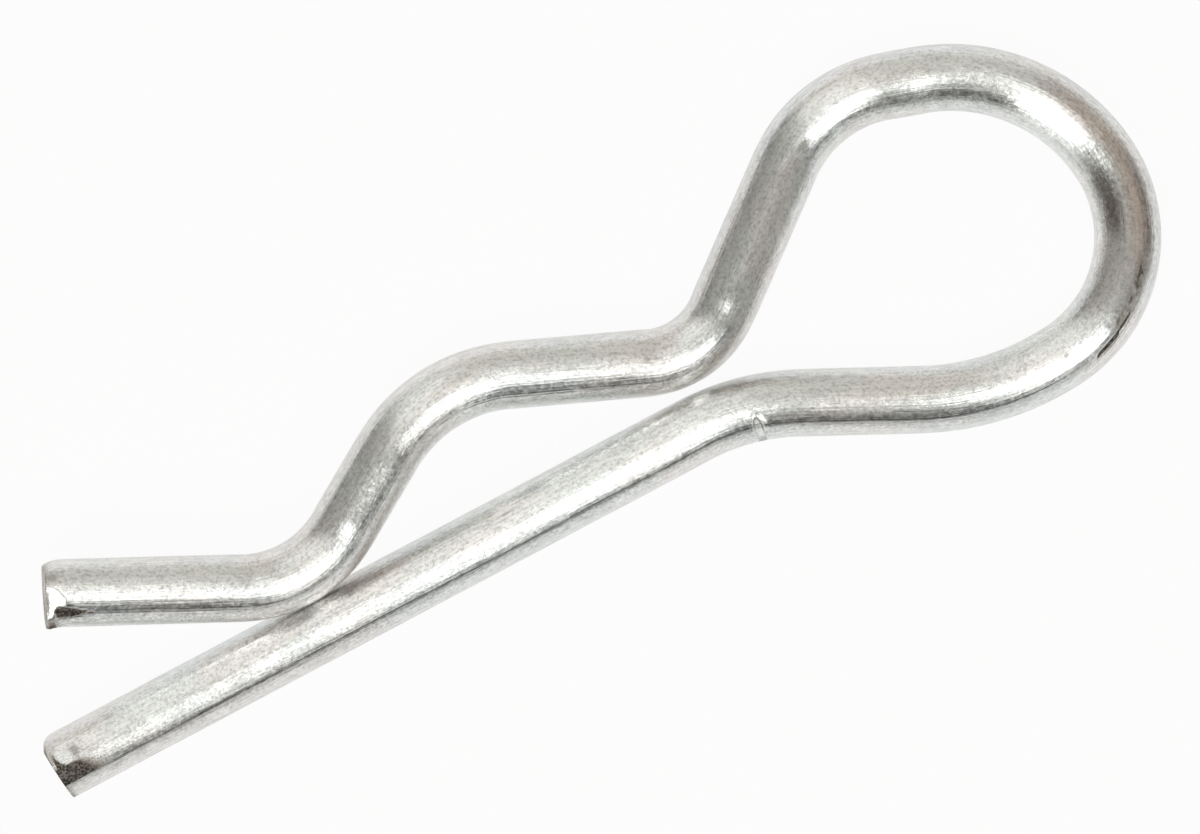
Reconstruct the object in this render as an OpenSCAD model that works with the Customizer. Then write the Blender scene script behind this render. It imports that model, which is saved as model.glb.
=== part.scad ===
// R-clip: a spring cotter bent cold from one length of round steel wire.
// X runs along the straight pin leg towards the finger loop, Y towards the sprung leg, Z up.
// The origin is on the pin leg's axis, at the centre of the shaft that the clip locks.

/* [Wire] */
// Diameter of the wire
wire_d = 4; // [3.4:0.1:4.4]
// Share by which the wire thins in a bend whose middle radius is one wire diameter
thinning = 0.02; // [0.015:0.005:0.03]

/* [Pin leg] */
// From the shaft's centre to the pin leg's cut end
pin_reach = 30.9; // [24:0.1:45]
// From the shaft's centre to the start of the neck bend
pin_run = 11.8; // [10.5:0.1:12.8]

/* [Neck] */
// Radius inside the neck bend, which turns away from the sprung leg
neck_in_r = 12; // [9:0.1:14]
// Angle of the neck bend
neck_angle = 26.4; // [23:0.1:30]
// Straight run from the neck to the finger loop
neck_run = 7.2; // [6:0.1:9]

/* [Finger loop] */
// Radius inside the loop's slow first bend
heel_in_r = 14.2; // [12:0.1:17]
// Angle of the heel
heel_angle = 32; // [28:0.5:36]
// Radius inside the loop's round end
round_in_r = 6.3; // [5.5:0.1:7.5]
// Angle of the round end
round_angle = 90.8; // [86:0.1:95]
// Radius inside the loop's crown
crown_in_r = 8.9; // [8:0.1:10]
// Angle of the crown
crown_angle = 66; // [61:0.5:71]
// Straight run from the crown to the shoulder
crown_run = 2; // [1:0.1:3.5]
// Radius inside the shoulder, the loop's last bend
shoulder_in_r = 6; // [4.5:0.1:7]

/* [Throat] */
// From the shaft's centre to the middle of the throat bend
throat_x = 13.3; // [12.5:0.1:14.2]
// Gap between the throat bend and the pin leg
throat_gap = 0.4; // [0.2:0.05:1.2]
// Radius inside the throat bend
throat_in_r = 3.3; // [2.6:0.1:4]

/* [Shaft seat] */
// Radius of the seat that hugs the shaft
seat_in_r = 7.2; // [6.4:0.1:7.8]
// How far the seat's centre lies past the pin leg's axis
seat_drop = 0.4; // [0:0.1:0.9]

/* [Free end] */
// From the shaft's centre to the middle of the free end's bend
tip_bend_x = 13; // [12:0.1:15]
// Radius inside the free end's bend
tip_in_r = 5; // [4:0.1:6]
// How far that bend would sink into the pin leg if the clip lay flat
tip_overlap = 0.37; // [0:0.01:0.8]
// Clearance between the two legs where the sprung leg rides over the pin leg
leg_gap = 0.05; // [0.02:0.01:0.3]
// Angle at which the free end flares out from the pin leg
tip_flare = 26.6; // [20:0.1:35]
// Straight run from the free end's bend to its cut end
tip_run = 11.7; // [8:0.1:16]

/* [Sheared ends] */
// Lean of the pin leg's cut face, from square
pin_face_angle = 4.2; // [0:0.1:6]
// Radius of the pin leg's rolled edge
pin_roll_r = 1.3; // [1.1:0.05:1.6]
// Length of the pin leg's rolled edge
pin_roll_l = 1; // [0.7:0.05:1.05]
// Lean of the free end's cut face, from square
tip_face_angle = 1.6; // [0:0.1:6]
// Radius of the free end's rolled edge
tip_roll_r = 2; // [1.8:0.05:2.4]
// Length of the free end's rolled edge
tip_roll_l = 1.6; // [1.1:0.05:1.65]
// Angle of the rolled edges round the wire, up from its side
roll_side = 42; // [0:1:90]
// Radius of the burr left on the free end
burr_r = 0.35; // [0.2:0.05:0.5]

/* [Tool mark] */
// Depth of the mark that the bending pin left inside the neck
mark_depth = 0.25; // [0.1:0.05:0.25]
// Radius of that mark
mark_r = 0.35; // [0.3:0.05:0.6]
// Angle round the neck bend at which the mark lies
mark_at = 15.5; // [4:0.5:22]

/* [Hidden] */
$fn = 96;

wire_r = wire_d / 2;
// Each length of wire runs on this far into the next, so that they join
lap = 0.05;
// A rolled edge starts a little above the wire, so that it breaks the surface at an angle
roll_rise = 0.05;
// Lean of the bending pin's mark from upright
mark_lean = 45;
// Passes that settle the sprung leg's lean
lean_passes = 8;

LEFT = 1;
RIGHT = -1;

function along(h) = [cos(h), sin(h)];
function across(h) = [-sin(h), cos(h)];

// A bend is [centre, middle radius, side it turns to, heading in, heading out]
function bend_from(p, h, in_r, side, turn) =
  let (r = in_r + wire_r)
  [p + side * r * across(h), r, side, h, h + side * turn];
function bend_start(b) = b[0] - b[2] * b[1] * across(b[3]);
function bend_end(b) = b[0] - b[2] * b[1] * across(b[4]);

// Heading of the straight wire that leaves one bend and meets the next
function heading_between(c1, r1, side1, c2, r2, side2) =
  let (d = c2 - c1, h = atan2(d.y, d.x) + asin((side1 * r1 - side2 * r2) / norm(d)))
  (h + 360) % 360;

// The finger loop follows the pin leg, bend by bend
neck = bend_from([pin_run, 0], 0, neck_in_r, RIGHT, neck_angle);
heel = bend_from(bend_end(neck) + neck_run * along(neck[4]), neck[4], heel_in_r, LEFT, heel_angle);
round_end = bend_from(bend_end(heel), heel[4], round_in_r, LEFT, round_angle);
crown = bend_from(bend_end(round_end), round_end[4], crown_in_r, LEFT, crown_angle);
shoulder_start = bend_end(crown) + crown_run * along(crown[4]);

// The sprung leg is placed by the shaft and the pin leg, and its straights join its bends
shoulder_r = shoulder_in_r + wire_r;
throat_r = throat_in_r + wire_r;
seat_r = seat_in_r + wire_r;
tip_r = tip_in_r + wire_r;
shoulder_c = shoulder_start + shoulder_r * across(crown[4]);
throat_c = [throat_x, wire_d + throat_gap + throat_r];
seat_c = [0, -seat_drop];
tip_low = [-tip_bend_x, wire_d - tip_overlap];
tip_c = tip_low + [0, tip_r];
shoulder_out = heading_between(shoulder_c, shoulder_r, LEFT, throat_c, throat_r, RIGHT);
throat_out = heading_between(throat_c, throat_r, RIGHT, seat_c, seat_r, LEFT);
seat_out = heading_between(seat_c, seat_r, LEFT, tip_c, tip_r, RIGHT);
shoulder = [shoulder_c, shoulder_r, LEFT, crown[4], shoulder_out];
throat = [throat_c, throat_r, RIGHT, shoulder_out, throat_out];
seat = [seat_c, seat_r, LEFT, throat_out, seat_out];
tip_bend = [tip_c, tip_r, RIGHT, seat_out, 180 - tip_flare];

// The sprung leg leans up about the straight that leaves the shoulder, until it clears the pin leg
hinge_p = bend_end(shoulder);
hinge_h = shoulder_out;
hinge_reach = (hinge_p - tip_low) * across(hinge_h);
function lean_after(angle, passes) =
  let (
    y = tip_low.y + hinge_reach * (1 - cos(angle)) * across(hinge_h).y,
    rise = sqrt(max(0, pow(wire_d + leg_gap, 2) - y * y))
  )
  passes == 0 ? angle : lean_after(asin(rise / hinge_reach), passes - 1);
leg_lean = lean_after(0, lean_passes);

// The wire draws down a little where it is bent
function bent_d(r) = wire_d * (1 - thinning * wire_d / r);

module straight(p, q) {
  d = q - p;
  translate([p.x, p.y, 0])
    rotate([0, 0, atan2(d.y, d.x)])
      translate([-lap, 0, 0])
        rotate([0, 90, 0])
          cylinder(d = wire_d, h = norm(d) + 2 * lap);
}

module bend(b) {
  c = b[0];
  r = b[1];
  side = b[2];
  lap_angle = side * lap / r * 180 / PI;
  translate([c.x, c.y, 0])
    rotate_extrude(angle = b[4] - b[3] + 2 * lap_angle, start = b[3] - side * 90 - lap_angle)
      translate([r, 0])
        circle(d = bent_d(r));
}

// Cuts the corner off a wire end at x = 0 to a round of radius r that starts l back from it
module rolled_edge(r, l) {
  rotate([90 - roll_side, 0, 0])
    translate([-l, 0, wire_r + roll_rise - r])
      difference() {
        translate([0, -wire_d, 0])
          cube([l + wire_d, 2 * wire_d, r + wire_d]);
        rotate([90, 0, 0])
          cylinder(r = r, h = 3 * wire_d, center = true);
      }
}

// A straight of length l that ends in a sheared face at x = 0
module sheared_straight(l, face_angle, r, roll_l) {
  difference() {
    translate([-l - lap, 0, 0])
      rotate([0, 90, 0])
        cylinder(d = wire_d, h = l + lap + wire_r);
    rotate([0, 0, face_angle])
      translate([0, -wire_d, -wire_d])
        cube(2 * wire_d);
    rolled_edge(r, roll_l);
  }
}

module burr() {
  translate([-burr_r / 2, wire_r - burr_r * 0.8, burr_r])
    sphere(r = burr_r);
}

module pin_leg() {
  translate([-pin_reach, 0, 0])
    rotate([0, 0, 180])
      sheared_straight(pin_reach + pin_run, pin_face_angle, pin_roll_r, pin_roll_l);
}

// Groove pressed into the flank of the neck by the pin that it was bent round
module bending_mark() {
  translate([neck[0].x, neck[0].y, 0])
    rotate([0, 0, -mark_at])
      translate([0, neck[1], 0])
        rotate([-mark_lean, 0, 0])
          translate([0, -wire_r - mark_r + mark_depth, 0])
            cylinder(r = mark_r, h = 2 * wire_d, center = true);
}

module finger_loop() {
  straight(bend_end(neck), bend_start(heel));
  bend(heel);
  bend(round_end);
  bend(crown);
  straight(bend_end(crown), bend_start(shoulder));
  bend(shoulder);
  straight(bend_end(shoulder), bend_start(throat));
}

module free_end() {
  p = bend_end(tip_bend) + tip_run * along(tip_bend[4]);
  translate([p.x, p.y, 0])
    rotate([0, 0, tip_bend[4]]) {
      sheared_straight(tip_run, tip_face_angle, tip_roll_r, tip_roll_l);
      burr();
    }
}

module sprung_leg() {
  translate([hinge_p.x, hinge_p.y, 0])
    rotate(-leg_lean, [along(hinge_h).x, along(hinge_h).y, 0])
      translate([-hinge_p.x, -hinge_p.y, 0]) {
        bend(throat);
        straight(bend_end(throat), bend_start(seat));
        bend(seat);
        straight(bend_end(seat), bend_start(tip_bend));
        bend(tip_bend);
        free_end();
      }
}

module r_clip() {
  color("silver")
    difference() {
      union() {
        pin_leg();
        bend(neck);
        finger_loop();
        sprung_leg();
      }
      bending_mark();
    }
}

r_clip();
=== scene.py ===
"""R-clip bent cold from one length of drawn spring wire, with bright zinc plate.

The wire is first made straight, with its cut ends, marks and scuffs, and is then bent onto its path.
Sizes are in millimetres and angles in degrees until the bent wire is brought to metres.
A place on the wire is (s, left, up): s along it from the pin leg's cut end, left and up from its axis.
theta runs round the wire: 0 on its left side, 90 on top, 180 on its right side, -90 underneath.
Some parts of the wire are told by share too: 1 on the skin, and less on a cut face towards its middle.
"""
import math

import bmesh
import bpy
from mathutils import Matrix, Vector, noise


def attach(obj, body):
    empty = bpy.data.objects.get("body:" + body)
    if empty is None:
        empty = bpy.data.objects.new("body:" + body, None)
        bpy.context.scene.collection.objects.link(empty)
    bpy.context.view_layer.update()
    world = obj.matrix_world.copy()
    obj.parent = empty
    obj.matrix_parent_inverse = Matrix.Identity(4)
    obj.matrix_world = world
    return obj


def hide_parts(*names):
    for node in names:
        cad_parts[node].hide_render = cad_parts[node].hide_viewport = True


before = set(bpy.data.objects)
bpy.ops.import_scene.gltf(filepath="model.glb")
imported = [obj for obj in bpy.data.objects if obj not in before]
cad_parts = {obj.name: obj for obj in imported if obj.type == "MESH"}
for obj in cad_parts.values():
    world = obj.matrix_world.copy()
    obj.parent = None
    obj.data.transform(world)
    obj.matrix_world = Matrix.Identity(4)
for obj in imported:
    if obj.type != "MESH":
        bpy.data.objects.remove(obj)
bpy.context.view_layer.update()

MM = 0.001
WIRE_R = 2.0
THINNING = 0.02  # how much a bend thins the wire, as a share at a bend as tight as the wire is thick
LEFT, RIGHT = 1, -1

# The bends of the wire, as in the clip's drawing. A bend has its inner radius and its turn, or only its
# radius where the straights beside it set the turn. The middle of the seat is at x = 0.
PIN_REACH, PIN_RUN = 30.9, 11.8  # the pin leg's length behind the seat, and on to the neck
NECK = (12.0, 26.4)
NECK_RUN = 7.2
HEEL = (14.2, 32.0)
ROUND_END = (6.3, 90.8)
CROWN = (8.9, 66.0)
CROWN_RUN = 2.0
SHOULDER_IN_R = 6.0
THROAT_X, THROAT_GAP, THROAT_IN_R = 13.3, 0.4, 3.3  # its gap is to the pin leg
SEAT_IN_R, SEAT_DROP = 7.2, 0.4  # its centre is this far below the pin leg's axis
TIP_BEND_X, TIP_IN_R, TIP_OVERLAP = 13.0, 5.0, 0.37  # seen from above, it overlaps the pin leg
TIP_FLARE, TIP_RUN = 26.6, 11.7
LEG_GAP = 0.05  # between the legs where they cross
LEAN_PASSES = 8
BLEND = 1.0  # half the length over which the wire's thickness changes at the end of a bend


def sin(a):
    """Sine of an angle in degrees."""
    return math.sin(math.radians(a))


def cos(a):
    """Cosine of an angle in degrees."""
    return math.cos(math.radians(a))


def along(h):
    """Direction of a heading."""
    return Vector((cos(h), sin(h), 0))


def across(h):
    """Direction to the left of a heading."""
    return Vector((-sin(h), cos(h), 0))


def smooth(x, lo, hi):
    """Rises softly from 0 at lo to 1 at hi, and falls where hi is the lower."""
    t = min(1.0, max(0.0, (x - lo) / (hi - lo)))
    return t * t * (3 - 2 * t)


def hump(x, middle, half_width):
    """1 at the middle, falling softly to 0 at the half width."""
    return smooth(abs(x - middle), half_width, 0)


def round_wire(theta, middle):
    """Distance round the skin of the wire from the angle middle to the angle theta."""
    return math.radians(theta - middle) * WIRE_R


# ---------------------------------------------------------------- path of the wire


class Run:
    """A straight (radius None) or a bend of the wire."""

    def __init__(self, start, heading, length, radius=None, side=LEFT):
        self.start, self.heading, self.length = start, heading, length
        self.radius, self.side = radius, side

    def at(self, d):
        """Point and heading at the distance d along the run."""
        if self.radius is None:
            return self.start + d * along(self.heading), self.heading
        centre = self.start + self.side * self.radius * across(self.heading)
        h = self.heading + self.side * math.degrees(d / self.radius)
        return centre - self.side * self.radius * across(h), h

    def end(self):
        return self.at(self.length)


def bend_run(start, heading, in_r, side, turn):
    """A bend that follows a straight."""
    r = in_r + WIRE_R
    return Run(start, heading, math.radians(turn) * r, r, side)


def straight_between(p, q):
    """The straight from one point to another."""
    d = q - p
    return Run(p, math.degrees(math.atan2(d.y, d.x)), d.length)


def heading_between(c1, r1, side1, c2, r2, side2):
    """Heading of the straight that leaves one bend and meets the next."""
    d = c2 - c1
    lead = math.asin((side1 * r1 - side2 * r2) / d.length)
    return (math.degrees(math.atan2(d.y, d.x) + lead) + 360) % 360


def bend_about(centre, r, side, h_in, h_out):
    """The bend about a centre that turns one heading into another."""
    start = centre - side * r * across(h_in)
    return Run(start, h_in, math.radians(abs(h_out - h_in)) * r, r, side)


def wire_path():
    """The runs of the wire from the pin leg's cut end to the free end, all lying flat."""
    pin = Run(Vector((-PIN_REACH, 0, 0)), 0, PIN_REACH + PIN_RUN)
    neck = bend_run(*pin.end(), NECK[0], RIGHT, NECK[1])
    neck_run = Run(*neck.end(), NECK_RUN)
    heel = bend_run(*neck_run.end(), HEEL[0], LEFT, HEEL[1])
    round_end = bend_run(*heel.end(), ROUND_END[0], LEFT, ROUND_END[1])
    crown = bend_run(*round_end.end(), CROWN[0], LEFT, CROWN[1])
    crown_run = Run(*crown.end(), CROWN_RUN)
    p, h = crown_run.end()

    radii = [r + WIRE_R for r in (SHOULDER_IN_R, THROAT_IN_R, SEAT_IN_R, TIP_IN_R)]
    sides = [LEFT, RIGHT, LEFT, RIGHT]
    centres = [
        p + radii[0] * across(h),
        Vector((THROAT_X, 2 * WIRE_R + THROAT_GAP + radii[1], 0)),
        Vector((0, -SEAT_DROP, 0)),
        Vector((-TIP_BEND_X, 2 * WIRE_R - TIP_OVERLAP + radii[3], 0)),
    ]
    spots = list(zip(centres, radii, sides))
    headings = [h] + [heading_between(*a, *b) for a, b in zip(spots, spots[1:])] + [180 - TIP_FLARE]
    bends = [bend_about(*spot, headings[i], headings[i + 1]) for i, spot in enumerate(spots)]
    sprung = [bends[0]]
    for b in bends[1:]:
        sprung += [straight_between(sprung[-1].end()[0], b.start), b]
    return [pin, neck, neck_run, heel, round_end, crown, crown_run, *sprung,
            Run(*bends[-1].end(), TIP_RUN)]


RUNS = wire_path()
STARTS = [sum(r.length for r in RUNS[:i]) for i in range(len(RUNS))]
LENGTH = STARTS[-1] + RUNS[-1].length
HINGE_RUN = 8  # the straight between the shoulder and the throat
HINGE = RUNS[HINGE_RUN]


def leg_lean():
    """Lean of the sprung leg about the shoulder's straight, at which it just clears the pin leg."""
    low = Vector((-TIP_BEND_X, 2 * WIRE_R - TIP_OVERLAP, 0))
    reach = (HINGE.start - low).dot(across(HINGE.heading))
    angle = 0.0
    for _ in range(LEAN_PASSES):
        y = low.y + reach * (1 - math.cos(angle)) * across(HINGE.heading).y
        angle = math.asin(math.sqrt((2 * WIRE_R + LEG_GAP) ** 2 - y * y) / reach)
    return angle


LEAN = leg_lean()


def run_at(s):
    """Number of the run that holds the place s."""
    return max(0, sum(1 for start in STARTS if s >= start) - 1)


def bent_place(place):
    """Where a place on the straight wire lies once the wire is bent."""
    s, left, up = place
    i = run_at(s)
    p, h = RUNS[i].at(s - STARTS[i])
    p = p + left * across(h) + Vector((0, 0, up))
    twist = LEAN * smooth(s, STARTS[HINGE_RUN], STARTS[HINGE_RUN + 1])
    if twist:
        turn = Matrix.Rotation(-twist, 3, along(HINGE.heading))
        p = turn @ (p - HINGE.start) + HINGE.start
    return p


def bent_radius(s):
    """Radius of the wire at s. The wire draws down a little in its bends."""
    i = run_at(s)

    def thin(k):
        r = RUNS[k].radius if 0 <= k < len(RUNS) else None
        return THINNING * 2 * WIRE_R / r if r else 0.0

    d, rest = s - STARTS[i], STARTS[i] + RUNS[i].length - s
    here = thin(i)
    here += (thin(i - 1) - here) * 0.5 * smooth(d, BLEND, -BLEND)
    here += (thin(i + 1) - here) * 0.5 * smooth(rest, BLEND, -BLEND)
    return WIRE_R * (1 - here)


# ---------------------------------------------------------------- cut ends and marks

# How each end was sheared: lean of the cut face, and radius, length and angle theta of its rolled edge
PIN_END = {"lean": 4.2, "roll_r": 1.3, "roll_l": 1.15, "roll_at": 6.0}
FREE_END = {"lean": 1.6, "roll_r": 2.0, "roll_l": 1.5, "roll_at": 172.0}
ROLL_RISE = 0.05
CUT_ZONE = 2.0  # the shear pushed this much of the wire's end out of square
NICK_S = 46.43
NICK_DEPTH = 0.24
LIP_RISE = 0.075
SCUFF_FROM, SCUFF_TO = 65.6, 74.0
TIP_MARKS_TO = 4.6
BURR_RISE = 0.16

# Flats pressed by the shear's jaws: s, half length, theta, depth at s, and how fast they deepen as s grows
FLATS = (
    (0.95, 1.0, 74.0, 0.06, 0.0),
    (LENGTH - 0.85, 1.6, 74.0, 0.10, 0.30),
    (LENGTH - 1.9, 1.6, 52.0, 0.045, 0.05),
)


def soft_min(a, b, k):
    """The smaller of two numbers, rounded off where they differ by less than k."""
    h = max(0.0, k - abs(a - b)) / k
    return min(a, b) - h * h * k / 4


def grain(s, left, up, size, seed=0.0):
    """Smooth noise from -1 to 1 with features of about the given size."""
    return noise.noise(Vector((s / size + seed, left / size - seed, up / size + 2 * seed)))


def roll_reach(end, depth):
    """How far the section reaches towards the rolled edge, at a depth behind the cut."""
    if depth >= end["roll_l"]:
        return 2 * WIRE_R
    r = end["roll_r"]
    return WIRE_R + ROLL_RISE - r + math.sqrt(r * r - (end["roll_l"] - max(0.0, depth)) ** 2)


def section_reach(s, theta):
    """Radius of the wire at s in the direction theta, within its rolled edges and flats."""
    reach = bent_radius(s)
    for end, depth in ((PIN_END, s), (FREE_END, LENGTH - s)):
        facing = cos(theta - end["roll_at"])
        if depth < end["roll_l"] and facing > 0.05:
            reach = soft_min(reach, roll_reach(end, depth) / facing, 0.1)
    for at, half, middle, depth, fall in FLATS:
        facing = cos(theta - middle)
        if abs(s - at) < half and facing > 0.3:
            pressed = soft_min(reach, (WIRE_R - depth - fall * (s - at)) / facing, 0.06)
            reach += (pressed - reach) * smooth(abs(s - at), half, 0.35 * half)
    return reach


# Each mark gives how far it raises the skin, and how bare it leaves the steel: 0 is sound plate, 1 is
# bare steel, more than that is black oxide, and -1 is near-white plate. The black in the scuff's groove is
# painted shadow, the black patch on the pin tip is painted reflection, and the near-white spot is partly
# burnish and partly painted highlight.


def nick(s, theta):
    """Groove across the inner flank of the neck, with a lip thrown up on its far side."""
    if abs(s - NICK_S) > 1.3 or not 95 < theta < 215:
        return 0.0, 0.0
    middle = NICK_S + 0.17 * smooth(theta, 120, 175)
    half = 0.1 + 0.22 * smooth(theta, 102, 126)
    deep = smooth(theta, 99, 128) * smooth(theta, 212, 178)
    x = s - middle
    wall = smooth(abs(x), half * 1.12, half * (0.35 if x < 0 else 0.6))
    lip_at = half + 0.1 + 0.12 * hump(theta, 122, 18)
    lip = hump(x, lip_at, 0.13) * smooth(theta, 103, 112) * smooth(theta, 176, 158)
    lip *= 0.75 + 0.5 * grain(s, theta / 9, 0, 1.0, 3.1)
    patch = hump(s, NICK_S - 0.25, 0.55) * hump(theta, 92, 16)
    rim = 1.6 * hump(x, half * 0.85, 0.07) * smooth(theta, 104, 109) * smooth(theta, 142, 126)
    rim = max(rim, 0.7 * hump(x, -half, 0.07) * smooth(theta, 104, 108) * smooth(theta, 126, 114))
    return LIP_RISE * lip - NICK_DEPTH * deep * wall - 0.02 * patch, rim


def scuff(s, left, up, theta):
    """Rough band that the bending tool scraped along the loop, with a scored groove at its end whose black
    is painted shadow.
    """
    if not SCUFF_FROM < s < SCUFF_TO or up < 0:
        return 0.0, 0.0
    groove_at = 130.5 - 1.2 * (s - 66.7)
    half = 0.07 + 0.17 * hump(s, 67.5, 1.5)
    groove = hump(round_wire(theta, groove_at), 0, half) * smooth(s, 66.5, 66.9) * smooth(s, 70.2, 68.6)
    ridge = hump(round_wire(theta, 115), 0, 0.1) * smooth(s, 66.0, 66.8) * smooth(s, 69.0, 68.2)
    band = hump(round_wire(theta, 117), 0, 0.62) * smooth(s, 67.8, 69.0) * smooth(s, 73.4, 71.4)
    rough = grain(s * 0.6, left, up, 0.16, 7.7) + 0.6 * grain(s, left, up, 0.08, 1.9)
    dr = -0.09 * groove + 0.03 * ridge + band * (0.02 * rough - 0.015)
    # The black along the groove is painted shadow; the band's rough colour is wear
    return dr, max(2.2 * smooth(groove, 0.12, 0.5), band * (0.95 + 1.2 * rough))


def burr(s, left, up):
    """Ragged lump that the shear left at the free end's lower edge."""
    near = math.exp(-((LENGTH - 0.3 - s) / 0.42) ** 2)
    near *= math.exp(-((up - 0.55) / 0.7) ** 2) * smooth(left, 1.0, 1.55)
    ragged = 0.7 + 0.8 * grain(s, left, up, 0.22, 5.5)
    return BURR_RISE * near * ragged, 1.9 * near * (0.9 - 0.7 * grain(s, left, up, 0.2, 3.5))


def jaw_tear(s, theta):
    """Black wedge torn beside the free end's flats, with a bright scratch along its lower side."""
    scratch = hump(round_wire(theta, 37 - 14 * (s - 156.05)), 0, 0.09)
    scratch *= smooth(s, 154.3, 154.8) * smooth(s, 156.3, 155.9)
    wide = 15.0 * smooth(s, 153.9, 156.1) * smooth(s, 156.6, 156.3)
    wedge = smooth(abs(theta - 57), wide, 0.55 * wide) if wide > 0.5 else 0.0
    return 0.03 * scratch - 0.05 * wedge, 1.9 * wedge * (1 - scratch)


def small_marks(s, theta):
    """Pinch at the shoulder, a short bright scratch on the loop and a dash on the pin leg."""
    pinch = hump(s, 98.9, 0.9) * hump(theta, 78, 9)
    bright = hump(s, 72.4, 0.35) * hump(theta, 38, 5)
    dash = hump(s, 30.7, 1.1) * hump(round_wire(theta, 63), 0, 0.11)
    return -0.035 * pinch - 0.012 * bright, max(0.45 * pinch, 0.9 * dash)


def tip_marks_and_painted_light(s, theta):
    """How bare the pin leg's tip is: a dark rim that the jaws left, a black patch that is painted
    reflection of the dark line widening at the tip, and a near-white spot on the jaw's flat, partly
    burnish and partly painted highlight.
    """
    if s >= TIP_MARKS_TO:
        return 0.0, 0.0
    # Painted reflection: this black patch stands for the dark line that the wire mirrors, widening towards
    # the tip
    patch = smooth(theta, 84, 99) * smooth(theta, 128, 123) * smooth(s, 4.4 - 0.06 * (124 - theta), 0.9)
    rim = smooth(s, 0.9, 0.6) * smooth(s, 0.12, 0.3) * hump(theta, 92, 48)
    # Painted highlight, partly real burnish: a near-white spot on the jaw's flat, where that facet shines
    burnish_and_highlight = smooth(hump(s, 1.0, 0.75) * hump(theta, 73, 24), 0.1, 0.3)
    return max(2.1 * patch, 1.9 * rim), burnish_and_highlight


def sheared_face(s, left, up, share, end):
    """Torn grain of a cut face, and the smoother lip where the shear went in."""
    w = left * cos(end["roll_at"]) + up * sin(end["roll_at"])
    torn = smooth(w, 0.9, -0.3) * smooth(share, 1.0, 0.9)
    rough = grain(s, left, up, 0.5, 2.2) + 0.5 * grain(s, left, up, 0.21, 4.2)
    step = 0.05 * smooth(w, 0.5, 0.3)
    return torn * (0.07 * rough - 0.04) - step * smooth(share, 1.0, 0.92)


def cut_square(s, left, up, share, end, outward):
    """Moves a place near an end along the wire, to the lean and the torn grain of its cut face."""
    depth = s if end is PIN_END else LENGTH - s
    s -= left * math.tan(math.radians(end["lean"])) * smooth(depth, CUT_ZONE, 0)
    return s + outward * sheared_face(s, left, up, share, end) if share < 1 else s


def shaped_place(s, share, theta):
    """Place of a point of the wire after the ends are cut and the marks are made, and how bare it is."""
    reach = section_reach(s, theta)
    left, up = reach * cos(theta), reach * sin(theta)
    wave = 0.010 * grain(s, left, up, 4.5, 0.3) + 0.006 * grain(s, left * 2.5, up * 2.5, 2.2, 9.1)
    marks = [nick(s, theta), scuff(s, left, up, theta), burr(s, left, up), jaw_tear(s, theta),
             small_marks(s, theta)]
    reach += (wave + sum(rise for rise, _ in marks)) * smooth(share, 0.0, 1.0)
    left, up = reach * share * cos(theta), reach * share * sin(theta)

    on_skin = smooth(share, 0.8, 1.0)
    # Painted reflection in the tip's black patch, carried on with the rim's real wear
    tip_rim_and_painted_dark, burnish_and_highlight = tip_marks_and_painted_light(s, theta)
    bare = max(tip_rim_and_painted_dark, *(worn for _, worn in marks)) * on_skin
    # The near-white spot is partly burnish and partly painted highlight
    bare += (-1 - bare) * burnish_and_highlight * on_skin

    from_pin, from_free = s, LENGTH - s
    if from_pin < CUT_ZONE:
        s = cut_square(s, left, up, share, PIN_END, -1)
        bare = max(bare, smooth(from_pin, 0.5, 0.0) * (0.7 + 0.4 * smooth(up, 1.2, 0.2)))
    if from_free < CUT_ZONE:
        s = cut_square(s, left, up, share, FREE_END, 1)
        rusty_spot = hump(from_free, 0.5, 0.55) * hump(theta, 120, 16)
        bare = max(bare, 0.75 * smooth(from_free, 0.45, 0.0), 0.8 * rusty_spot)
    return Vector((s, left, up)), bare


# ---------------------------------------------------------------- the mesh of the wire


SIDES = 96
EDGE_R = 0.07  # radius of the cut faces' rims
EDGE_TURNS = (0, 30, 60)  # where the rings lie round that radius
CAP_SHARES = (0.06, 0.2, 0.34, 0.48, 0.6, 0.7, 0.79, 0.86, 0.92)  # rings of a cut face
STEP = 0.42  # from ring to ring along the wire
# Where the marks are, the rings of the wire lie closer: from, to, step
FINE = (
    (0.0, 2.0, 0.1),
    (45.6, 47.7, 0.06),
    (65.4, 71.8, 0.13),
    (97.6, 100.0, 0.16),
    (LENGTH - 3.4, LENGTH, 0.09),
)
CLOSEST = 0.03  # no ring lies closer to the last one than this
MIDDLE = 0.001  # the middle of a cut face lies within this of the wire's axis, and has this share


def stations():
    """Each ring of the wire as its place along it and its share of the full radius."""
    edge = [(EDGE_R * (1 - cos(a)), 1 - EDGE_R * (1 - sin(a)) / WIRE_R) for a in EDGE_TURNS]
    rings = [(0.0, share) for share in CAP_SHARES] + edge
    s = EDGE_R
    while s < LENGTH - EDGE_R - CLOSEST:
        rings.append((s, 1.0))
        steps = [step for lo, hi, step in FINE if lo <= s < hi]
        nexts = [lo for lo, hi, step in FINE if s < lo <= s + STEP]
        s = s + steps[0] if steps else nexts[0] if nexts else s + STEP
    rings.append((LENGTH - EDGE_R, 1.0))
    rings += [(LENGTH - s, share) for s, share in reversed(edge)]
    return rings + [(LENGTH, share) for share in reversed(CAP_SHARES)]


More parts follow.
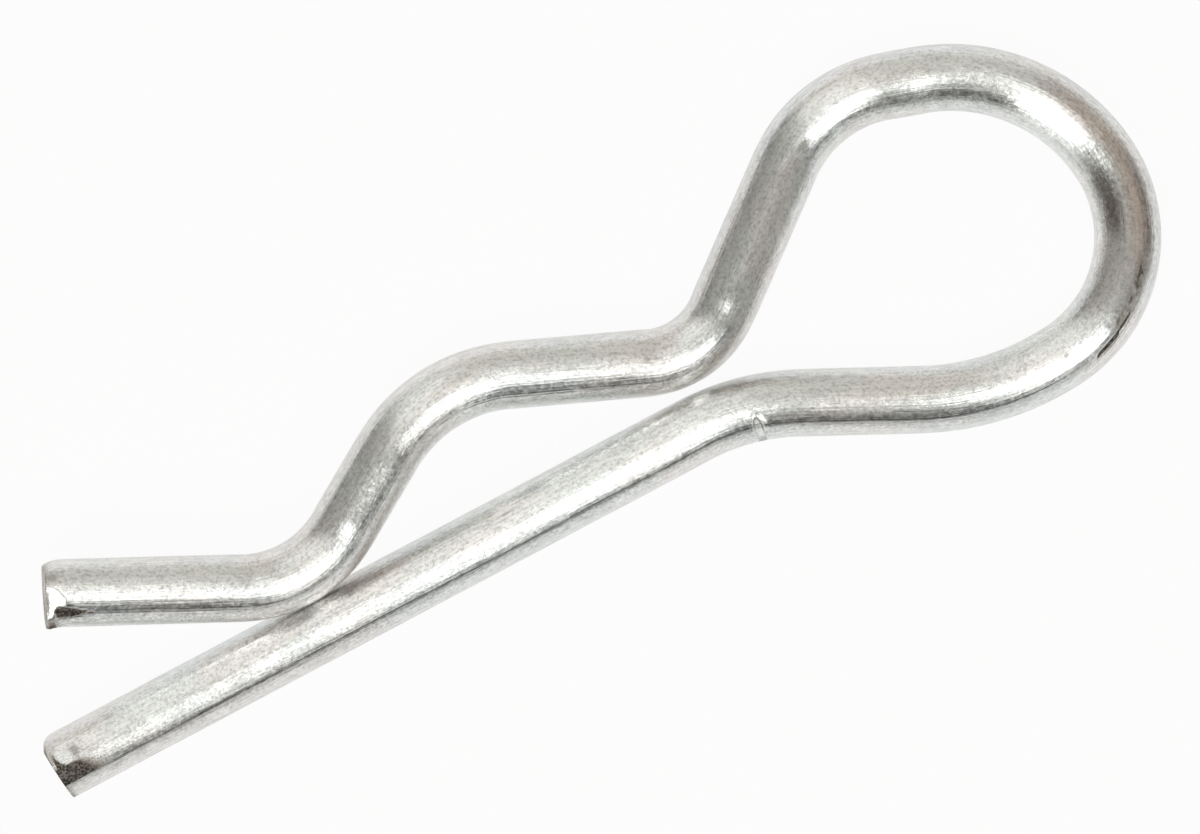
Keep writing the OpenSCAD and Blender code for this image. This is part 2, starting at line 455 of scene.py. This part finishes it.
def drawn_wire():
    """The straight wire: a small disc extruded out to the rim, along the wire and in again."""
    bm = bmesh.new()
    rings = stations()
    lie_down = Matrix.Rotation(math.radians(90), 3, "Y")
    bmesh.ops.create_circle(bm, cap_ends=True, segments=SIDES, radius=WIRE_R * rings[0][1])
    bmesh.ops.rotate(bm, verts=bm.verts[:], cent=(0, 0, 0), matrix=lie_down)
    station = bm.verts.layers.float_vector.new("station")
    ring = list(bm.edges)
    for v in bm.verts:
        v[station] = Vector((*rings[0], math.degrees(math.atan2(v.co.z, v.co.y))))
    for s, share in rings[1:]:
        grown = bmesh.ops.extrude_edge_only(bm, edges=ring)["geom"]
        ring = [g for g in grown if isinstance(g, bmesh.types.BMEdge)]
        ring = [e for e in ring if len(e.link_faces) == 1]
        for v in {v for e in ring for v in e.verts}:
            theta = v[station].z
            v[station] = Vector((s, share, theta))
            v.co = Vector((s, WIRE_R * share * cos(theta), WIRE_R * share * sin(theta)))
    bmesh.ops.holes_fill(bm, edges=ring, sides=SIDES)
    bmesh.ops.poke(bm, faces=[f for f in bm.faces if len(f.verts) > 4])
    return bm, station


def unroll(bm, place):
    """UV map of the wire's skin: across runs round the wire, and up runs along it."""
    uv = bm.loops.layers.uv.new("skin")
    turn = 2 * math.pi * WIRE_R
    for face in bm.faces:
        spots = []
        for loop in face.loops:
            s, left, up = loop.vert[place]
            rim = math.hypot(left, up)
            spots.append([math.atan2(up, left) * WIRE_R if rim > 1e-4 else None, s - rim])
        known = [u for u, _ in spots if u is not None]
        wraps = max(known) - min(known) > turn / 2
        known = [u + turn if wraps and u < 0 else u for u in known]
        for loop, (u, v) in zip(face.loops, spots):
            u = sum(known) / len(known) if u is None else u + turn if wraps and u < 0 else u
            loop[uv].uv = (u, v)


def bend_clip():
    """Cuts, marks and bends the wire, and gives the finished piece in metres."""
    bm, station = drawn_wire()
    place = bm.verts.layers.float_vector.new("wire_place")
    bare = bm.verts.layers.float.new("bare")
    for v in bm.verts:
        s, share, theta = v[station]
        if math.hypot(v.co.y, v.co.z) < MIDDLE:
            s, share, theta = (0.0 if v.co.x < LENGTH / 2 else LENGTH), MIDDLE, 0.0
        v[place], v[bare] = shaped_place(s, share, theta)
        v.co = bent_place(v[place]) * MM
    unroll(bm, place)
    bm.verts.layers.float_vector.remove(station)
    bmesh.ops.recalc_face_normals(bm, faces=bm.faces[:])
    if bm.calc_volume(signed=True) < 0:
        bmesh.ops.reverse_faces(bm, faces=bm.faces[:])
    mesh = bpy.data.meshes.new("clip_wire")
    bm.to_mesh(mesh)
    bm.free()
    mesh.polygons.foreach_set("use_smooth", [True] * len(mesh.polygons))
    clip = bpy.data.objects.new("clip_wire", mesh)
    bpy.context.scene.collection.objects.link(clip)
    return clip


# ---------------------------------------------------------------- node helpers


class Tree:
    """Short calls that add nodes to a material or a world and link them."""

    def __init__(self, owner):
        owner.use_nodes = True
        self.nodes, self.links = owner.node_tree.nodes, owner.node_tree.links
        self.nodes.clear()

    def add(self, kind, settings=None, **inputs):
        node = self.nodes.new("ShaderNode" + kind)
        for name, value in (settings or {}).items():
            setattr(node, name, value)
        for name, value in inputs.items():
            self.put(node.inputs[int(name[1:]) if name[0] == "_" else name.replace("_", " ")], value)
        return node

    def put(self, socket, value):
        if isinstance(value, bpy.types.NodeSocket):
            self.links.new(value, socket)
        else:
            socket.default_value = value

    def math(self, operation, a, b=0.0, clamp=False):
        node = self.add("Math", {"operation": operation, "use_clamp": clamp}, _0=a, _1=b)
        return node.outputs[0]

    def ramp(self, value, lo, hi, at_lo=0.0, at_hi=1.0):
        """Soft rise from at_lo to at_hi as the value goes from lo to hi."""
        node = self.add("MapRange", {"interpolation_type": "SMOOTHSTEP"}, Value=value)
        for name, number in (("From Min", lo), ("From Max", hi), ("To Min", at_lo), ("To Max", at_hi)):
            node.inputs[name].default_value = number
        return node.outputs[0]

    def colour(self, share, a, b, blend="MIX"):
        node = self.add("Mix", {"data_type": "RGBA", "blend_type": blend}, _0=share, _6=a, _7=b)
        return node.outputs[2]

    def scaled(self, vector, scale):
        node = self.add("VectorMath", {"operation": "MULTIPLY"}, _0=vector, _1=scale)
        return node.outputs[0]

    def noise(self, vector, scale, detail=2.0, roughness=0.5):
        node = self.add("TexNoise", Vector=self.scaled(vector, scale), Scale=1.0, Detail=detail,
                        Roughness=roughness)
        return node.outputs[0]


# ---------------------------------------------------------------- finish of the plated wire

PLATE = (0.87, 0.87, 0.855, 1)
WARM_PLATE = (0.90, 0.85, 0.82, 1)
COOL_PLATE = (0.82, 0.88, 0.865, 1)
TINT_SHARE = 0.34  # how far the plate takes its warm and cool tints
OXIDE = (0.05, 0.044, 0.038, 1)
# Near-white for the spot on the pin tip's jaw flat: partly burnish, partly painted highlight
BURNISH_AND_HIGHLIGHT = (0.98, 0.98, 0.97, 1)
BARE_STEEL = (0.35, 0.335, 0.305, 1)
RUSTY_STEEL = (0.27, 0.215, 0.17, 1)

# Thin dark lines painted along the wire where it mirrors the lower edge of the dark rail in front, a
# painted
# reflection: theta, where each starts and ends along the wire, width, darkness, how broken
DARK_REFLECTION_LINES = (
    (123.5, 1.5, 66.0, 0.055, 0.75, 0.30),
    (126.5, 1.5, 60.0, 0.045, 0.40, 0.44),
    (119.5, 45.0, 62.0, 0.06, 0.45, 0.50),
    (63.0, 104.0, 110.5, 0.05, 0.40, 0.52),
    (58.0, 114.0, 128.0, 0.05, 0.55, 0.44),
    (53.0, 116.0, 131.0, 0.045, 0.50, 0.47),
    (61.0, 141.0, 155.0, 0.05, 0.55, 0.42),
    (55.0, 143.0, 156.0, 0.05, 0.45, 0.46),
)
LINE_FADE = 3.0  # how long a painted line takes to come and go

# How deep the plate's reliefs are
CRYSTAL_DEPTH, STREAK_DEPTH, LONG_STREAK_DEPTH, TORN_DEPTH = 0.004, 0.008, 0.018, 0.03


def painted_reflection_lines(t, where, breaks):
    """Darkness of the thin painted lines along the wire: a painted reflection of the dark rail's edge."""
    axes = t.add("SeparateXYZ", _0=where)
    angle = t.math("ARCTAN2", axes.outputs[2], axes.outputs[1])
    wander = t.noise(where, (0.08, 0, 0), 2.0)
    angle = t.math("ADD", angle, t.ramp(wander, 0.3, 0.7, -0.035, 0.035))
    dark = 0.0
    for at, start, end, width, depth, broken in DARK_REFLECTION_LINES:
        off = t.math("ABSOLUTE", t.math("SUBTRACT", angle, math.radians(at)))
        line = t.ramp(off, width / WIRE_R, 0.2 * width / WIRE_R, 0.0, depth)
        line = t.math("MULTIPLY", line, t.ramp(axes.outputs[0], start, start + LINE_FADE))
        line = t.math("MULTIPLY", line, t.ramp(axes.outputs[0], end, end - LINE_FADE))
        line = t.math("MULTIPLY", line, t.ramp(breaks, broken - 0.1, broken + 0.08))
        dark = t.math("MAXIMUM", line, dark)
    return dark


def plate_colour(t, where, mottle, long_streaks):
    """Bright zinc in faint tints, with dark pepper, blotches, long streaks, painted sheen on the flanks
    and thin dark lines of painted reflection.
    """
    clouds = t.noise(where, (0.16, 0.42, 0.42), 1.0)
    tint = t.colour(t.ramp(clouds, 0.42, 0.62), COOL_PLATE, WARM_PLATE)
    colour = t.colour(TINT_SHARE, PLATE, tint)

    pepper = t.noise(where, (4.6, 5.8, 5.8), 2.0, 0.55)
    blotches = t.noise(where, (1.3, 2.2, 2.2), 2.0, 0.6)
    # Painted sheen: the dark pepper fades on the wire's left and right flanks, so they read lighter and
    # smoother, as where they mirror the white sheet
    height = t.math("ABSOLUTE", t.add("SeparateXYZ", _0=where).outputs[2])
    painted_flank_sheen = t.ramp(height, 1.35, 0.75, 0.0, 0.75)
    spots = t.math("MULTIPLY", t.ramp(pepper, 0.28, 0.58, -0.25, 0.0), t.math("SUBTRACT", 1.0, painted_flank_sheen))
    shade = t.math("ADD", t.math("ADD", spots, 1.0), t.ramp(blotches, 0.3, 0.7, -0.07, 0.05))
    shade = t.math("ADD", shade, t.ramp(long_streaks, 0.3, 0.7, -0.06, 0.04))
    # Painted reflection: thin dark lines where the wire mirrors the edge of the dark rail in front
    shade = t.math("MULTIPLY", shade, t.math("SUBTRACT", 1.0, painted_reflection_lines(t, where, mottle)))
    shade = t.add("CombineXYZ", _0=shade, _1=shade, _2=shade).outputs[0]
    return t.colour(1.0, colour, shade, "MULTIPLY")


def worn_colour(t, colour, bare, worn, speckle):
    """The plate's colour, turned to near-white zinc (partly burnish, partly painted highlight), bare steel
    or black oxide where it is worn.
    """
    # Painted highlight, partly burnish: the plate turns near-white where bare is below zero
    colour = t.colour(t.ramp(bare, -0.2, -0.8), colour, BURNISH_AND_HIGHLIGHT)
    steel = t.colour(t.ramp(speckle, 0.44, 0.62), RUSTY_STEEL, BARE_STEEL)
    colour = t.colour(worn, colour, steel)
    black = t.math("MULTIPLY", t.ramp(bare, 0.95, 1.6), t.ramp(speckle, 0.60, 0.42, 0.45, 1.0))
    return t.colour(black, colour, OXIDE)


def plate_relief(t, crystals, streaks, long_streaks, speckle, worn):
    """Crystals of the zinc, streaks of the drawn wire under it, and torn grain where it is worn."""
    fine = t.add("Bump", Strength=1.0, Distance=CRYSTAL_DEPTH * MM, Height=crystals).outputs[0]
    drawn = t.add("Bump", Strength=1.0, Distance=STREAK_DEPTH * MM, Height=streaks, Normal=fine)
    wavy = t.add("Bump", Strength=1.0, Distance=LONG_STREAK_DEPTH * MM, Height=long_streaks,
                 Normal=drawn.outputs[0])
    torn = t.add("Bump", Strength=worn, Distance=TORN_DEPTH * MM, Height=speckle,
                 Normal=wavy.outputs[0])
    return torn.outputs[0]


def plated_finish():
    """Bright zinc plate on drawn wire. Its patterns follow the wire as it was before bending."""
    material = bpy.data.materials.new("bright_zinc_plate")
    t = Tree(material)
    where = t.add("Attribute", {"attribute_name": "wire_place"}).outputs["Vector"]
    bare = t.add("Attribute", {"attribute_name": "bare"}).outputs["Fac"]

    streaks = t.noise(where, (1.1, 8.0, 8.0), 2.0)
    long_streaks = t.noise(where, (0.14, 6.5, 6.5), 2.0)
    crystals = t.noise(where, (3.5, 3.8, 3.8), 2.0, 0.5)
    mottle = t.noise(where, (0.55, 1.1, 1.1), 2.0)
    speckle = t.noise(where, (7.0, 8.5, 8.5), 2.0, 0.65)
    worn = t.math("MULTIPLY", bare, t.ramp(speckle, 0.25, 0.6, 0.35, 1.0), True)

    colour = worn_colour(t, plate_colour(t, where, mottle, long_streaks), bare, worn, speckle)
    rough = t.math("ADD", t.ramp(mottle, 0.3, 0.7, 0.0, 0.04), t.ramp(crystals, 0.32, 0.68, 0.17, 0.25))
    rough = t.math("ADD", rough, t.math("MULTIPLY", worn, 0.2))
    relief = plate_relief(t, crystals, streaks, long_streaks, speckle, worn)

    round_the_wire = t.add("Tangent", {"direction_type": "UV_MAP", "uv_map": "skin"}).outputs[0]
    plate = t.add("BsdfPrincipled", Base_Color=colour, Metallic=1.0, Roughness=rough,
                  Anisotropic=0.95, Normal=relief, Tangent=round_the_wire)
    t.add("OutputMaterial", Surface=plate.outputs[0])
    return material


# ---------------------------------------------------------------- studio

# The view from straight above, with the pin leg running up to the right
VIEW_X, VIEW_Y = 7.25 * MM, 3.31 * MM
VIEW_TURN = -27.93
VIEW_WIDTH = 70.9 * MM
VIEW_UP = 0.6  # metres above the sheet

SHEET_HALF = 6.0  # metres, so that its rim is out of sight
PAPER = (0.9, 0.9, 0.9, 1)
WHITE = (1, 1, 1, 1)
# How much of the sheet glows as plain white to the camera and in the wire's reflections
GLOW_SEEN, GLOW_MIRRORED = 0.94, 0.74


def set_camera():
    """Camera above the clip, looking straight down."""
    data = bpy.data.cameras.new("camera")
    data.sensor_width = 36
    data.lens = data.sensor_width * VIEW_UP / VIEW_WIDTH
    data.clip_start, data.clip_end = 0.01, 50
    camera = bpy.data.objects.new("camera", data)
    camera.location = (VIEW_X, VIEW_Y, VIEW_UP)
    camera.rotation_euler = (0, 0, math.radians(VIEW_TURN))
    bpy.context.scene.collection.objects.link(camera)
    bpy.context.scene.camera = camera


def seen_directly(t):
    """Two switches: 1 for rays from the camera, and 1 for rays that a mirror or glass sent on."""
    path = t.add("LightPath")
    mirrored = t.math("MAXIMUM", path.outputs["Is Glossy Ray"], path.outputs["Is Transmission Ray"])
    return path.outputs["Is Camera Ray"], mirrored


def white_paper():
    """Matt paper that takes a shadow, under a glow that lifts it to white."""
    material = bpy.data.materials.new("white_paper")
    t = Tree(material)
    camera, mirrored = seen_directly(t)
    paper = t.add("BsdfDiffuse", Color=PAPER).outputs[0]
    glow = t.add("Emission", Color=WHITE, Strength=1.0).outputs[0]
    glow_share = t.math("MULTIPLY", camera, GLOW_SEEN)
    glow_share = t.math("ADD", glow_share, t.math("MULTIPLY", mirrored, GLOW_MIRRORED))
    sheet = t.add("MixShader", _0=glow_share, _1=paper, _2=glow).outputs[0]
    t.add("OutputMaterial", Surface=sheet)
    return material


def lay_sheet():
    """White sheet under the clip, which keeps a faint shadow."""
    bm = bmesh.new()
    bmesh.ops.create_grid(bm, x_segments=1, y_segments=1, size=SHEET_HALF)
    bmesh.ops.translate(bm, verts=bm.verts[:], vec=(0, 0, -WIRE_R * MM))
    mesh = bpy.data.meshes.new("white_sheet")
    bm.to_mesh(mesh)
    bm.free()
    mesh.materials.append(white_paper())
    sheet = bpy.data.objects.new("white_sheet", mesh)
    bpy.context.scene.collection.objects.link(sheet)


TENT = (0.36, 0.35, 0.33, 1)
# Panels hung in the tent, each over the last: heading of its middle, half its angle, where it starts and
# ends as angles down from straight above, softness of its edges, colour
PANELS = (
    (72.0, 36.0, 0.0, 100.0, 14.0, (0.64, 0.62, 0.575, 1)),  # pale wall
    (92.0, 15.0, 0.0, 64.0, 10.0, (0.98, 0.97, 0.93, 1)),  # its brightest part
    (243.0, 24.0, 0.0, 24.0, 14.0, (0.70, 0.70, 0.67, 1)),  # pale strip overhead
    (-4.0, 30.0, 12.0, 100.0, 12.0, (0.42, 0.35, 0.295, 1)),  # warm curtain
    (-17.0, 22.0, 60.0, 92.0, 7.0, (0.07, 0.06, 0.05, 1)),  # its dark foot
    (169.0, 18.0, 14.0, 80.0, 7.0, (0.085, 0.07, 0.06, 1)),  # black flag
    (125.0, 18.0, 72.0, 92.0, 6.0, (0.12, 0.11, 0.10, 1)),  # its low end
    (258.0, 46.0, 45.0, 76.0, 6.0, (0.012, 0.014, 0.013, 1)),  # dark rail in front
    (243.0, 62.0, 80.0, 100.0, 5.0, (0.98, 0.99, 0.97, 1)),  # pale skirt below it
    (205.0, 13.0, 46.0, 100.0, 6.0, (0.85, 0.86, 0.83, 1)),  # pale corner
    (209.5, 11.5, 2.0, 50.0, 4.0, (5.0, 5.0, 4.95, 1)),  # softbox on the left
    (267.0, 9.0, 20.0, 40.0, 4.0, (1.0, 1.0, 0.98, 1)),  # its reflector
    (277.0, 14.5, 2.0, 20.0, 4.0, (4.5, 4.5, 4.45, 1)),  # softbox overhead
    (287.5, 10.5, 16.0, 46.0, 4.0, (3.2, 3.2, 3.15, 1)),  # softbox on the right
    (277.5, 11.0, 37.0, 47.0, 3.0, (3.0, 3.0, 2.95, 1)),  # low strip light
    (31.0, 11.0, 3.0, 20.0, 4.0, (2.2, 2.2, 2.15, 1)),  # reflector across from the left softbox
)


def light_tent():
    """Soft tent round the clip, with softboxes, pale walls and dark flags hung in it."""
    world = bpy.data.worlds.new("light_tent")
    bpy.context.scene.world = world
    t = Tree(world)
    way = t.add("TexCoord").outputs["Generated"]
    axes = t.add("SeparateXYZ", _0=way)
    height = axes.outputs[2]
    heading = t.math("ARCTAN2", axes.outputs[1], axes.outputs[0])
    light = TENT
    for at, half, start, end, soft, colour in PANELS:
        off = t.add("Math", {"operation": "WRAP"}, _0=t.math("SUBTRACT", heading, math.radians(at)),
                    _1=math.pi, _2=-math.pi).outputs[0]
        lit = t.ramp(t.math("ABSOLUTE", off), math.radians(half + soft), math.radians(half - soft))
        if start > 0:
            lit = t.math("MULTIPLY", lit, t.ramp(height, cos(max(0, start - soft)), cos(start + soft)))
        lit = t.math("MULTIPLY", lit, t.ramp(height, cos(end + soft), cos(end - soft)))
        light = t.colour(lit, light, colour)
    camera, _ = seen_directly(t)
    light = t.colour(camera, light, WHITE)
    t.add("OutputWorld", Surface=t.add("Background", Color=light, Strength=1.0).outputs[0])


clip = bend_clip()
clip.data.materials.append(plated_finish())
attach(clip, "root")
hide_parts("r_clip")

set_camera()
lay_sheet()
light_tent()
bpy.context.scene.view_settings.view_transform = "Standard"
